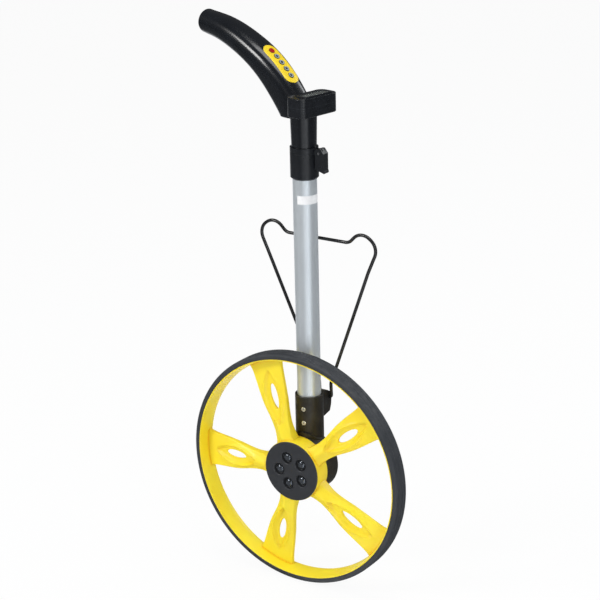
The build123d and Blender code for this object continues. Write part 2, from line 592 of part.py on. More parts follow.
# raised frame round the window, the hollow, and the window opening
bezel = bezel + round_block(10.6, 27.6, 6.0, 55.6, BEZEL_Z1 - 1, BEZEL_Z1 + 1.5, 3.0)
bezel = bezel - housing_block(CASE_WALL, SPLIT_Z - 1, BEZEL_Z1 - CASE_WALL)
bezel = bezel - round_block(13.0, 25.2, 10.0, 51.6, BEZEL_Z1 - 4, BEZEL_Z1 + 3, 1.2)
screws = []
for x, y in [(5.0, 3.5), (5.0, 58.1), (24.6, 3.5), (24.6, 58.1)]:
    bezel = bezel + rod_z(2.8, SPLIT_Z + 0.1, BEZEL_Z1 - 1.9, x, y)
    case = case + rod_z(2.8, CASE_Z0 + 1, SPLIT_Z, x, y)
    case = case - rod_z(1.4, CASE_Z0 - 1, CASE_Z0 + 19, x, y)
    case = case - rod_z(2.3, CASE_Z0 - 1, CASE_Z0 + 2, x, y)
    bezel = bezel - rod_z(1.22, SPLIT_Z - 1, SPLIT_Z + 7, x, y)
    screws.append(rod_z(2.1, CASE_Z0 + 0.5, CASE_Z0 + 1.98, x, y)
                  + rod_z(1.2, CASE_Z0 + 1.9, CASE_Z0 + 17.9, x, y))
put_upper("display_case", case - rod_z(LEAD_HOLE_R, 460, 472, x=LEAD_X))
put_upper("display_bezel", bezel)
put_upper("display_screws", *screws)
put_upper("lcd_window",
          round_block(13.02, 25.18, 10.02, 51.58, BEZEL_Z1 - 0.2, BEZEL_Z1 + 1.0, 1.2))
put_upper("lcd_module", block(10.5, 27.6, 8.4, 53.2, BEZEL_Z1 - 5.6, BEZEL_Z1 - 2.3))
put_upper("main_board", block(7.5, 27.4, 9.5, 52.5, 477.4, 479.0))

# ---------------------------------------------------------------- cable
# drum lead, coil in the pole, upper lead
lead_start = (0, 17.2, WHEEL_Z + 20)
lead_path = Wire(bends([lead_start, (0, 17.2, WHEEL_Z + 30), (0, 24, WHEEL_Z + 36.5),
                        (0, 24, WHEEL_Z + 47)], [4, 4]))
lead_section = Plane(origin=lead_start, z_dir=(0, 0, 1)) * Circle(CORD_R)
put("sensor_lead", sweep(lead_section, path=lead_path))

COIL_PITCH, COIL_TURNS, COIL_R = 5.0, 10, 8.5
helix = Helix(pitch=COIL_PITCH, height=COIL_PITCH * COIL_TURNS, radius=COIL_R,
              center=(0, POLE_Y, WHEEL_Z + 50), direction=(0, 0, 1))
coil_section = Plane(origin=helix @ 0, z_dir=helix % 0) * Circle(CORD_R)
put("coil_cord", sweep(coil_section, path=helix, is_frenet=True))
put_upper("upper_lead", rod_z(CORD_R, 104, 476, x=LEAD_X))
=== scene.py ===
# A distance-measuring wheel: a five-spoked yellow wheel under a tubular pole with a handle.
# Metres, +Z up. The wheel turns about the Y axis and stands on z = 0; its hub cap faces -Y
# (the front), and the pole stands behind it, on the +Y side.
import math
import bmesh
import bpy
import numpy as np
from mathutils import Matrix, Vector


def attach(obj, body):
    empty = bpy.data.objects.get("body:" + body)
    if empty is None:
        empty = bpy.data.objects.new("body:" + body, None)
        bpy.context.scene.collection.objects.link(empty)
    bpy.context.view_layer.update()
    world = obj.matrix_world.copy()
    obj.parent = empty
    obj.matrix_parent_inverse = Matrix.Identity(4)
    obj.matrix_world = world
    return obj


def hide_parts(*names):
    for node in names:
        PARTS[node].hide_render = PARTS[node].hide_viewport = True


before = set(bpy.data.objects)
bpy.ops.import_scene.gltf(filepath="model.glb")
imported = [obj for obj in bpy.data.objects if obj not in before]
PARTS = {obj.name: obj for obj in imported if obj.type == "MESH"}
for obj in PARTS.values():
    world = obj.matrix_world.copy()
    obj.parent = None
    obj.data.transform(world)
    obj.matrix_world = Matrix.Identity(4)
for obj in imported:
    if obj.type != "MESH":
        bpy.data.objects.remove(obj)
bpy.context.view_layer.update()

SCENE = bpy.context.scene
MM = 0.001

# Wheel sizes in mm, angles in degrees
TYRE_RADIUS = 159.0
HALF_WIDTH = 12.2              # of the tyre, along Y
SPOKE_ANGLES = [math.radians(38.2 + 72 * i) for i in range(5)]
SPOKE_START, SPOKE_END = 35.0, 150.4
SCREW_CIRCLE = 18.8            # radius of the ring of screws in the hub cap
SCREW_PLACES = [(SCREW_CIRCLE * math.cos(a), SCREW_CIRCLE * math.sin(a)) for a in SPOKE_ANGLES]

# Places in metres
AXLE_Z = TYRE_RADIUS * MM
POLE_Y = 0.0308


# ---------------------------------------------------------------- node helpers
def add_node(tree, kind, inputs=None, **settings):
    """Adds a node. Each input is given a value, or a socket to link from."""
    node = tree.nodes.new(kind)
    for key, value in settings.items():
        setattr(node, key, value)
    for key, value in (inputs or {}).items():
        if isinstance(value, bpy.types.NodeSocket):
            tree.links.new(value, node.inputs[key])
        else:
            node.inputs[key].default_value = value
    return node


def add_noise(tree, vector, scale, detail=5.0, roughness=0.55):
    node = add_node(tree, "ShaderNodeTexNoise", {
        "Scale": scale, "Detail": detail, "Roughness": roughness, "Vector": vector})
    return node.outputs["Fac"]


def remap(tree, value, to_min, to_max, from_min=0.3, from_max=0.7, interpolation="LINEAR"):
    node = add_node(tree, "ShaderNodeMapRange", {
        "From Min": from_min, "From Max": from_max, "To Min": to_min, "To Max": to_max,
        "Value": value}, interpolation_type=interpolation)
    return node.outputs["Result"]


def calculate(tree, operation, first, second=None):
    inputs = {0: first} if second is None else {0: first, 1: second}
    return add_node(tree, "ShaderNodeMath", inputs, operation=operation).outputs[0]


def vector_math(tree, operation, first, second=None, output="Vector"):
    inputs = {0: first} if second is None else {0: first, 1: second}
    node = add_node(tree, "ShaderNodeVectorMath", inputs, operation=operation)
    return node.outputs[output]


def mix_colour(tree, factor, first, second):
    """Mixes two colours, each a tuple or a socket. Inputs 6 and 7 are the colour pair."""
    first, second = ((*c, 1) if isinstance(c, tuple) else c for c in (first, second))
    inputs = {0: factor, 6: first, 7: second}
    return add_node(tree, "ShaderNodeMix", inputs, data_type="RGBA").outputs[2]


def mix_value(tree, factor, first, second):
    """Mixes two numbers. Inputs 2 and 3 are the number pair."""
    inputs = {0: factor, 2: first, 3: second}
    return add_node(tree, "ShaderNodeMix", inputs, data_type="FLOAT").outputs[0]


# ---------------------------------------------------------------- finishes
def start_material(name):
    """A new material, its node tree, and its object coordinates, raw and mapped."""
    made = bpy.data.materials.new(name)
    made.use_nodes = True
    tree = made.node_tree
    coords = add_node(tree, "ShaderNodeTexCoord").outputs["Object"]
    mapped = add_node(tree, "ShaderNodeMapping", {"Vector": coords}).outputs["Vector"]
    return made, tree, coords, mapped


def set_surface(tree, mapped, colour, rough, rough_vary=0.08, rough_scale=120.0, metal=0.0,
                coat=0.0, coat_rough=0.08, spec=0.5):
    """Sets the main shader, with the roughness wandering by rough_vary either way."""
    shader = tree.nodes["Principled BSDF"]
    tree.links.new(colour, shader.inputs["Base Color"])
    patches = add_noise(tree, mapped, rough_scale, detail=6.0)
    roughness = remap(tree, patches, max(0.02, rough - rough_vary), min(1.0, rough + rough_vary))
    tree.links.new(roughness, shader.inputs["Roughness"])
    shader.inputs["Metallic"].default_value = metal
    shader.inputs["Specular IOR Level"].default_value = spec
    shader.inputs["Coat Weight"].default_value = coat
    shader.inputs["Coat Roughness"].default_value = coat_rough
    return shader


def add_edge(tree, mapped, colour, edge, width):
    """Broken-up colour along edges, where the bevelled normal leaves the true one."""
    bevel = add_node(tree, "ShaderNodeBevel", {"Radius": width}, samples=4).outputs["Normal"]
    normal = add_node(tree, "ShaderNodeNewGeometry").outputs["Normal"]
    match = vector_math(tree, "DOT_PRODUCT", bevel, normal, output="Value")
    patches = add_noise(tree, mapped, scale=260.0, detail=4.0)
    factor = calculate(
        tree, "MULTIPLY",
        remap(tree, match, to_min=1.0, to_max=0.0, from_min=0.80, from_max=0.995),
        remap(tree, patches, to_min=0.25, to_max=1.0, from_min=0.4, from_max=0.62))
    return mix_colour(tree, factor, colour, edge)


def add_dust(tree, mapped, colour, amount, dust_colour):
    """Patchy dust, thickest on faces that look up."""
    normal = add_node(tree, "ShaderNodeNewGeometry").outputs["Normal"]
    up = add_node(tree, "ShaderNodeSeparateXYZ", {0: normal}).outputs["Z"]
    patches = add_noise(tree, mapped, scale=70.0, detail=8.0, roughness=0.65)
    factor = calculate(
        tree, "MULTIPLY",
        remap(tree, up, to_min=0.15, to_max=1.0, from_min=-0.2, from_max=1.0),
        remap(tree, patches, to_min=0.0, to_max=amount, from_min=0.45, from_max=0.75))
    return mix_colour(tree, factor, colour, dust_colour)


def paint_recess_shade(tree, colour, reach, shade, strength, closed, opened):
    """Painted shade in recesses, mixed into the colour: full strength at openness `closed`, none
    at `opened`.
    """
    openness = add_node(tree, "ShaderNodeAmbientOcclusion", {"Distance": reach}, samples=6)
    factor = remap(tree, openness.outputs["AO"], strength, 0.0, closed, opened, "SMOOTHSTEP")
    return mix_colour(tree, factor, colour, shade)


def material(name, base, vary, vary_scale=40.0, bump=0.0, bump_scale=400.0, tint=None,
             tint_scale=None, edge=None, edge_width=None, dust=0.0,
             dust_colour=(0.55, 0.52, 0.46), painted_recess_shade=None, layer=None, subsurface=0.0, **surface):
    """A layered finish. vary is the tone's swing, tint a second colour in broad patches,
    layer a function that adds one more layer of colour, surface goes to set_surface."""
    made, tree, coords, mapped = start_material(name)
    dark = tuple(c * (1 - vary) for c in base)
    light = tuple(min(1.0, c * (1 + vary)) for c in base)
    tone = remap(tree, add_noise(tree, mapped, vary_scale), 0.0, 1.0)
    colour = mix_colour(tree, tone, dark, light)
    if tint:
        patches = add_noise(tree, mapped, tint_scale, detail=2.0)
        factor = remap(tree, patches, 0.0, 1.0, from_min=0.35, from_max=0.65)
        colour = mix_colour(tree, factor, colour, tint)
    if edge:
        colour = add_edge(tree, mapped, colour, edge, edge_width)
    if dust:
        colour = add_dust(tree, mapped, colour, dust, dust_colour)
    # painted shade: darkens the colour where ambient occlusion finds a recess
    if painted_recess_shade:
        colour = paint_recess_shade(tree, colour, **painted_recess_shade)
    if layer:
        colour = layer(tree, coords, colour)
    shader = set_surface(tree, mapped, colour, **surface)
    if subsurface:
        shader.inputs["Subsurface Weight"].default_value = subsurface
        shader.inputs["Subsurface Radius"].default_value = (0.004, 0.0025, 0.0008)
        shader.inputs["Subsurface Scale"].default_value = 1.0
    if bump:
        grain = add_noise(tree, mapped, bump_scale, detail=3.0, roughness=0.6)
        node = add_node(tree, "ShaderNodeBump", {
            "Strength": bump, "Distance": 0.0004, "Height": grain})
        tree.links.new(node.outputs["Normal"], shader.inputs["Normal"])
    return made


def drawn_lines(tree, coords, colour):
    """Fine lines running up the tube: noise stretched along Z."""
    mapping = add_node(tree, "ShaderNodeMapping", {"Scale": (900, 900, 6), "Vector": coords})
    lines = add_noise(tree, mapping.outputs["Vector"], scale=1.0, detail=3.0, roughness=0.6)
    return mix_colour(tree, remap(tree, lines, 0.0, 0.25), colour, (0.60, 0.64, 0.67))


# Painted shade: the recess setting turns the yellow orange in recesses.
yellow = material(
    "wheel_yellow_plastic", (0.99, 0.80, 0.028), rough=0.42, vary=0.035, vary_scale=22,
    rough_vary=0.07, bump=0.06, bump_scale=900, coat=0.12, coat_rough=0.25,
    tint=(0.975, 0.735, 0.022), tint_scale=14, subsurface=0.12,
    painted_recess_shade=dict(reach=0.0045, shade=(0.93, 0.47, 0.004), strength=0.8, closed=0.50, opened=0.95))
rubber = material(
    "tyre_rubber", (0.029, 0.033, 0.040), rough=0.62, vary=0.12, vary_scale=60, rough_vary=0.1,
    bump=0.35, bump_scale=1400, tint=(0.037, 0.041, 0.048), tint_scale=20, dust=0.25,
    dust_colour=(0.16, 0.16, 0.16), edge=(0.12, 0.125, 0.135), edge_width=0.0009)
cap_plastic = material(
    "hub_cap_plastic", (0.031, 0.033, 0.038), rough=0.36, vary=0.08, vary_scale=70, bump=0.22,
    # Painted highlight: the edge colour lightens the cap's edges.
    bump_scale=1300, edge=(0.26, 0.27, 0.30), edge_width=0.0007,
    # Painted shade: the recess setting darkens the screw pockets.
    painted_recess_shade=dict(reach=0.006, shade=(0.012, 0.012, 0.013), strength=0.9, closed=0.35, opened=0.9))
dome_black = material(
    "dome_screw_black", (0.115, 0.128, 0.150), rough=0.20, metal=0.8, vary=0.15, vary_scale=300,
    rough_vary=0.05, bump=0.04, bump_scale=900, coat=0.6, coat_rough=0.08)
zinc = material(
    "screw_dark_zinc", (0.20, 0.22, 0.25), rough=0.24, metal=0.9, vary=0.2, vary_scale=300,
    bump=0.12, bump_scale=1500, edge=(0.55, 0.57, 0.6), edge_width=0.0003)
steel = material("turned_steel", (0.56, 0.56, 0.58), rough=0.28, metal=1.0, vary=0.08,
                 vary_scale=300, bump=0.1, bump_scale=1200)
bearing = material("bearing_steel", (0.72, 0.72, 0.74), rough=0.16, metal=1.0, vary=0.05,
                   vary_scale=300)
cage = material("pressed_cage", (0.46, 0.44, 0.40), rough=0.4, metal=1.0, vary=0.1,
                vary_scale=300)
black = material("sensor_black", (0.02, 0.02, 0.022), rough=0.5, vary=0.2, vary_scale=200,
                 bump=0.1, bump_scale=1200)
bracket = material(
    "bracket_pebbled_black", (0.0135, 0.0115, 0.0090), rough=0.42, vary=0.25, vary_scale=60,
    rough_vary=0.12, bump=0.9, bump_scale=820, tint=(0.022, 0.0175, 0.0105), tint_scale=26,
    edge=(0.075, 0.07, 0.06), edge_width=0.0008, dust=0.10)
board = material("green_board", (0.02, 0.17, 0.06), rough=0.35, vary=0.2, vary_scale=350,
                 bump=0.1, bump_scale=800)
rivet = material("rivet_metal", (0.92, 0.87, 0.72), rough=0.30, metal=0.7, vary=0.1,
                 vary_scale=400, bump=0.1, bump_scale=1500)
aluminium = material(
    "satin_anodised_aluminium", (0.76, 0.81, 0.85), rough=0.36, metal=0.55, vary=0.03,
    vary_scale=30, rough_vary=0.05, bump=0.10, bump_scale=1500, layer=drawn_lines,
    tint=(0.71, 0.76, 0.80), tint_scale=8)
paper = material("paper_label", (0.90, 0.90, 0.91), rough=0.55, vary=0.03, vary_scale=300,
                 bump=0.15, bump_scale=900)
clamp = material(
    "clamp_satin_black", (0.0100, 0.0115, 0.0145), rough=0.34, vary=0.2, vary_scale=70,
    bump=0.07, bump_scale=1300, edge=(0.035, 0.040, 0.048), edge_width=0.0005, coat=0.2,
    coat_rough=0.22, spec=0.35)
pad = material("pad_rubber", (0.06, 0.06, 0.06), rough=0.8, vary=0.1, bump=0.3, bump_scale=900)
wire = material(
    "wire_powder_black", (0.013, 0.013, 0.014), rough=0.30, vary=0.25, vary_scale=80, bump=0.12,
    bump_scale=1500, coat=0.25, coat_rough=0.2, edge=(0.08, 0.08, 0.085), edge_width=0.0004)
gloss = material(
    "handle_gloss_black", (0.0070, 0.0085, 0.0115), rough=0.24, vary=0.2, vary_scale=30,
    rough_vary=0.03, rough_scale=40, coat=0.4, coat_rough=0.15, spec=0.4)
display = material(
    "display_satin_black", (0.0085, 0.0100, 0.0130), rough=0.30, vary=0.2, vary_scale=50,
    bump=0.05, bump_scale=1200, coat=0.3, coat_rough=0.18, edge=(0.045, 0.052, 0.062),
    edge_width=0.0006, spec=0.35)
panel = material(
    "panel_yellow", (0.91, 0.66, 0.010), rough=0.38, vary=0.05, vary_scale=60, bump=0.08,
    bump_scale=1200, edge=(0.96, 0.78, 0.12), edge_width=0.0007, coat=0.1)
red = material(
    "button_red", (0.50, 0.012, 0.012), rough=0.33, vary=0.15, vary_scale=300, bump=0.08,
    bump_scale=1200, edge=(0.30, 0.01, 0.008), edge_width=0.0005, coat=0.2,
    # Painted shade: the recess setting darkens round the key.
    painted_recess_shade=dict(reach=0.0022, shade=(0.12, 0.003, 0.002), strength=0.8, closed=0.45, opened=0.92))
grey = material(
    "button_grey", (0.42, 0.46, 0.49), rough=0.26, vary=0.15, vary_scale=300, metal=0.25,
    bump=0.08, bump_scale=1200, edge=(0.10, 0.11, 0.10), edge_width=0.0005, coat=0.3,
    # Painted shade: the recess setting darkens round the key.
    painted_recess_shade=dict(reach=0.0022, shade=(0.035, 0.045, 0.040), strength=0.95,
                closed=0.45, opened=0.92))
battery = material("battery_jacket", (0.10, 0.11, 0.14), rough=0.3, metal=0.6, vary=0.1,
                   vary_scale=90)
brass = material("contact_brass", (0.75, 0.62, 0.32), rough=0.25, metal=1.0, vary=0.1,
                 vary_scale=400)
lcd = material("lcd_grey_green", (0.33, 0.38, 0.33), rough=0.35, vary=0.04, vary_scale=500,
               bump=0.02)
cable = material("cable_black", (0.02, 0.02, 0.02), rough=0.5, vary=0.1, bump=0.2, bump_scale=900)
glass = material("lcd_window_glass", (0.80, 0.84, 0.82), rough=0.05, vary=0.02, rough_vary=0.02)
glass_shader = glass.node_tree.nodes["Principled BSDF"]
glass_shader.inputs["Transmission Weight"].default_value = 0.92
glass_shader.inputs["IOR"].default_value = 1.49

# Which parts wear each finish; any part not listed is sensor black
WORN_BY = [
    (rubber, "tyre"),
    (yellow, "wheel_rim"),
    (cap_plastic, "hub_cap"),
    (zinc, "hub_cap_screws drum_cover_screws sensor_board_screws socket_screw handle_screws "
           "display_screws"),
    (steel, "axle bearing_spacer axle_circlip lever_pin"),
    (bearing, "front_bearing_outer_ring front_bearing_inner_ring front_bearing_balls "
              "rear_bearing_outer_ring rear_bearing_inner_ring rear_bearing_balls"),
    (cage, "front_bearing_cage rear_bearing_cage"),
    (bracket, "arm_bracket drum_cover"),
    (board, "sensor_board button_board main_board"),
    (rivet, "tube_rivets"),
    (aluminium, "lower_tube inner_tube"),
    (paper, "tube_label"),
    (clamp, "tube_glide clamp_collar clamp_lever"),
    (pad, "friction_pad"),
    (wire, "kickstand_wire"),
    (gloss, "handle_socket handle_top_shell handle_bottom_shell battery_door"),
    (panel, "button_panel"),
    (red, "power_button"),
    (grey, "mode_button unit_button hold_button clear_button"),
    (battery, "batteries"),
    (brass, "battery_contacts"),
    (display, "display_case display_bezel"),
    (glass, "lcd_window"),
    (lcd, "lcd_module"),
    (cable, "sensor_lead coil_cord upper_lead"),
]
FINISH_OF = {part: finish for finish, parts in WORN_BY for part in parts.split()}


def dress(thing, finish):
    thing.data.materials.clear()
    thing.data.materials.append(finish)


for part, thing in PARTS.items():
    dress(thing, FINISH_OF.get(part, black))


def ring_key(part, base, rim, middle):
    """Gives a key rings round its own axis: rim, base colour, then a middle darkened with painted
    shade.
    """
    middle_radius = 0.0019
    points = np.array([v.co[:] for v in PARTS[part].data.vertices])
    centre = points.mean(0)
    axis = np.linalg.svd(points - centre, full_matrices=False)[2][2]

    def rings(tree, coords, colour):
        offset = vector_math(tree, "SUBTRACT", coords, centre.tolist())
        across = vector_math(tree, "CROSS_PRODUCT", offset, axis.tolist())
        radius = vector_math(tree, "LENGTH", across, output="Value")
        # Painted shade: the middle colour darkens the key's recessed middle.
        inside = remap(tree, radius, 1.0, 0.0, middle_radius - 0.0003, middle_radius + 0.0001)
        colour = mix_colour(tree, inside, colour, middle)
        outside = remap(tree, radius, 0.0, 1.0, from_min=0.0031, from_max=0.0035)
        return mix_colour(tree, outside, colour, rim)

    dress(PARTS[part], material(
        part + "_finish", base, rough=0.28, vary=0.12, vary_scale=300, metal=0.15, bump=0.06,
        bump_scale=1200, coat=0.3, layer=rings))


for part in ("mode_button", "unit_button", "hold_button", "clear_button"):
    ring_key(part, base=(0.40, 0.45, 0.48), rim=(0.035, 0.045, 0.035), middle=(0.05, 0.06, 0.06))
ring_key("power_button", base=(0.58, 0.014, 0.014), rim=(0.16, 0.006, 0.004),
         middle=(0.40, 0.010, 0.008))


# ---------------------------------------------------------------- mesh helpers
def add_wheel_part(name, mesh, finish, sharp_angle, replaces):
    """Makes a smooth-shaded object that turns with the wheel in place of a CAD part."""
    verts, faces = mesh
    data = bpy.data.meshes.new(name)
    data.from_pydata([tuple(map(float, v)) for v in verts], [], faces)
    data.validate()
    work = bmesh.new()
    work.from_mesh(data)
    bmesh.ops.remove_doubles(work, verts=work.verts, dist=2e-6)
    bmesh.ops.recalc_face_normals(work, faces=work.faces)
    work.to_mesh(data)
    work.free()
    made = bpy.data.objects.new(name, data)
    SCENE.collection.objects.link(made)
    dress(made, finish)
    data.polygons.foreach_set("use_smooth", [True] * len(data.polygons))
    data.set_sharp_from_angle(angle=math.radians(sharp_angle))
    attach(made, "wheel")
    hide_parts(replaces)


def loop_faces(rows, columns):
    """Quads over a grid of points that closes on itself both ways."""
    faces = []
    for i in range(rows):
        i_next = (i + 1) % rows
        for j in range(columns):
            j_next = (j + 1) % columns
            faces.append((i * columns + j, i * columns + j_next,
                          i_next * columns + j_next, i_next * columns + j))
    return faces


def lathe(profile, segments, shape=None):
    """Spins a closed (radius, y) profile in mm round the axle; shape may alter y in place."""
    radius, height = np.array(profile, float).T
    angle = np.linspace(0, 2 * math.pi, segments, endpoint=False)
    x = np.cos(angle)[:, None] * radius
    z = np.sin(angle)[:, None] * radius
    y = np.repeat(height[None, :], segments, 0)
    if shape:
        shape(x, y, z)
    verts = np.stack([x * MM, y * MM, z * MM + AXLE_Z], -1).reshape(-1, 3)
    return verts, loop_faces(segments, len(radius))


def round_profile(points, steps):
    """Rounds the corners of a closed profile of (radius, y, corner radius)."""
    rounded = []
    for i, point in enumerate(points):
        corner = np.array(point[:2], float)
        back = np.array(points[i - 1][:2], float) - corner
        ahead = np.array(points[(i + 1) % len(points)][:2], float) - corner
        back_length, ahead_length = np.linalg.norm(back), np.linalg.norm(ahead)
        back, ahead = back / back_length, ahead / ahead_length
        half = math.acos(max(-1, min(1, float(back @ ahead)))) / 2
        # the arc takes less than half of either side
        reach = min(point[2] / math.tan(half), back_length * 0.48, ahead_length * 0.48)
        radius = reach * math.tan(half)
        bisector = (back + ahead) / np.linalg.norm(back + ahead)
        centre = corner + bisector * radius / math.sin(half)
        first = corner + back * reach - centre
        last = corner + ahead * reach - centre
        start = math.atan2(first[1], first[0])
        end = math.atan2(last[1], last[0])
        sweep = (end - start + math.pi) % (2 * math.pi) - math.pi
        for step in range(steps + 1):
            angle = start + sweep * step / steps
            rounded.append((centre[0] + radius * math.cos(angle),
                            centre[1] + radius * math.sin(angle)))
    return rounded


def smooth_step(start, end, x):
    t = np.clip((x - start) / (end - start), 0, 1)
    return t * t * (3 - 2 * t)


def hump(x, centre, width):
    return np.exp(-((x - centre) / width) ** 2)


def join(meshes):
    all_verts, all_faces, offset = [], [], 0
    for verts, faces in meshes:
        all_verts.append(verts)
        all_faces += [tuple(i + offset for i in face) for face in faces]
        offset += len(verts)
    return np.vstack(all_verts), all_faces


# ---------------------------------------------------------------- wheel moulding
# Spoke outline: distance from the axle, half width (mm)
SPOKE_WIDTHS = np.array([
    (34.0, 15.5), (41, 12.6), (50, 11.9), (57, 12.1), (64, 12.8), (70, 13.8), (78, 15.6),
    (85, 17.3), (92, 18.9), (100, 20.2), (108, 21.2), (115, 21.9), (125, 22.7), (135, 23.6),
    (142, 25.0), (146.5, 27.0), (150.5, 30.0)]).T
# Spoke surfaces: distance from the axle, front towards -Y, back towards +Y (mm)
SPOKE_FACES = np.array([
    (34, 12.2, 7.5), (44, 11.6, 6.8), (60, 9.4, 5.0), (80, 6.0, 4.6),
    (100, 3.0, 5.0), (120, 0.0, 6.8), (140, -2.6, 9.4), (152, -3.6, 10.6)]).T
# Fall of the spoke's front flanks: distance from the axle, fall (mm)
FLANK_FALL = np.array([
    (34, 2.0), (44, 3.6), (56, 4.2), (70, 3.2), (90, 1.6), (120, 0.9), (140, 0.5), (152, 0.2)]).T
HOLE_X, HOLE_HALF_LENGTH, HOLE_HALF_WIDTH = 99.0, 16.6, 5.1
OUTLINE_ROUND, HOLE_ROUND = 1.7, 1.1     # edge radii


def half_width(x):
    return np.interp(x, *SPOKE_WIDTHS)


def eye_half(x):
    """Half width of the dished eye round the spoke's hole, never quite nothing."""
    q = np.clip(1 - ((x - 98.0) / 37.0) ** 2, 0, 1)
    return np.maximum(13.0 * q ** 0.9, 0.01)


def front_height(x, across):
    """Spoke front towards -Y, at x out from the axle and `across` from its centre line."""
    side = np.abs(across)
    base = np.interp(x, SPOKE_FACES[0], SPOKE_FACES[1])
    eye = eye_half(x)
    dish = (-3.5 * smooth_step(1.0, 0.45, side / eye) * smooth_step(0.0, 1.2, eye)
            * smooth_step(0, 5.0, eye))
    # raised line round the eye
    crest = (1.5 * hump(side, eye, 1.5) * smooth_step(57, 66, x)
             * (1 - 0.75 * smooth_step(112, 134, x)))
    # raised rib between the hub and the eye
    stem = 2.0 * hump(across, 0, 3.4) * (1 - smooth_step(55, 66, x)) * smooth_step(38, 46, x)
    ridge = np.maximum(eye, 2.2)
    outer = np.clip((side - ridge) / np.maximum(half_width(x) - ridge, 0.5), 0, 1)
    flank = -np.interp(x, *FLANK_FALL) * smooth_step(0.05, 0.95, outer)
    # shallow hollow near the rim
    leaf = -1.1 * hump(x, 136, 7.0) * hump(across, 0, 9.0)
    return base + dish + crest + stem + flank + leaf


def back_height(x, across):
    """Spoke back towards +Y."""
    base = np.interp(x, SPOKE_FACES[0], SPOKE_FACES[2])
    eye = eye_half(x)
    dish = -1.5 * smooth_step(1.0, 0.45, np.abs(across) / eye) * smooth_step(0, 5.0, eye)
    return base + dish


def edge_drop(distance, radius):
    """How far a rounded edge has fallen, at a distance in from it."""
    near = np.clip(distance, 0, radius)
    return radius - np.sqrt(np.maximum(radius * radius - (radius - near) ** 2, 0))


def spoke_outline(turn):
    """Points on the outline, one for each ray from the hole."""
    start_half, end_half = half_width(SPOKE_START), half_width(SPOKE_END)
    outline = [(x, half_width(x)) for x in np.linspace(SPOKE_END, SPOKE_START, 300)]
    outline += [(SPOKE_START, y) for y in np.linspace(start_half, -start_half, 40)[1:-1]]
    outline += [(x, -half_width(x)) for x in np.linspace(SPOKE_START, SPOKE_END, 300)]
    outline += [(SPOKE_END, y) for y in np.linspace(-end_half, end_half, 60)[1:-1]]
    outline = np.array(outline)
    # start at the middle of the outer end, and close
    first = np.argmin(np.hypot(outline[:, 0] - SPOKE_END, outline[:, 1]))
    outline = np.roll(outline, -first, axis=0)
    outline = np.vstack([outline, outline[:1]])
    length = np.concatenate([[0], np.cumsum(np.hypot(*np.diff(outline, axis=0).T))])
    angle = np.unwrap(np.arctan2(outline[:, 1] / 3.2, outline[:, 0] - HOLE_X))
    angle = angle - angle[0]
    # rays are spread partly by angle, partly by length, so the long ends get enough
    spread = 0.45 * angle / angle[-1] + 0.55 * length / length[-1]
    stops = np.interp(turn / (2 * math.pi), spread, length)
    return np.stack([np.interp(stops, length, outline[:, i]) for i in (0, 1)], 1)


def spoke(angle, rays=168):
    """One spoke as a closed shell: rings from the hole out, front and back."""
    turn = np.linspace(0, 2 * math.pi, rays, endpoint=False)
    inner = np.stack([HOLE_X + HOLE_HALF_LENGTH * np.cos(turn),
                      HOLE_HALF_WIDTH * np.sin(turn)], 1)
    outer = spoke_outline(turn)
    # ring places from the hole (0) to the outline (1), closer at both edges
    places = np.concatenate([[0, 0.02, 0.05, 0.09], np.linspace(0.14, 0.9, 17),
                             [0.935, 0.96, 0.98, 0.992, 1.0]])
    front, back = [], []
    for place in places:
        points = inner * (1 - place) + outer * place
        x, across = points.T
        from_hole = np.hypot(*(points - inner).T)
        drop = (edge_drop(half_width(x) - np.abs(across), OUTLINE_ROUND)
                + edge_drop(from_hole, HOLE_ROUND))
        front.append(np.stack([x, -front_height(x, across) + drop, across], 1))
        back.append(np.stack([x, back_height(x, across) - drop, across], 1))
    rings = np.array(front + back[::-1])
    x, y, across = rings[..., 0], rings[..., 1], rings[..., 2]
    c, s = math.cos(angle), math.sin(angle)
    verts = np.stack([(x * c - across * s) * MM, y * MM, (x * s + across * c) * MM + AXLE_Z], -1)
    return verts.reshape(-1, 3), loop_faces(len(rings), rays)


# Profiles: radius, y, corner radius (mm)
RIM_SIDE = HALF_WIDTH - 0.35
RIM_PROFILE = [
    (SPOKE_END, -RIM_SIDE, 0.5), (151.8, -RIM_SIDE, 0.3), (151.8, RIM_SIDE, 0.3),
    (147.2, RIM_SIDE, 0.9), (147.3, 6.2, 1.5)]
HUB_PROFILE = [
    (36.2, -14.0, 0.2), (41.0, -14.0, 0.9), (41.0, 9.5, 1.2), (34.5, 9.5, 0.8),
    (34.5, -4.0, 1.0), (12.0, -4.0, 0.3), (12.0, -9.9, 0.3), (36.2, -9.9, 0.3)]

rim = lathe(round_profile(RIM_PROFILE, steps=4), segments=320)
hub = lathe(round_profile(HUB_PROFILE, steps=4), segments=192)
add_wheel_part("wheel_moulding", join([rim, hub] + [spoke(a) for a in SPOKE_ANGLES]), yellow,
               sharp_angle=50, replaces="wheel_rim")


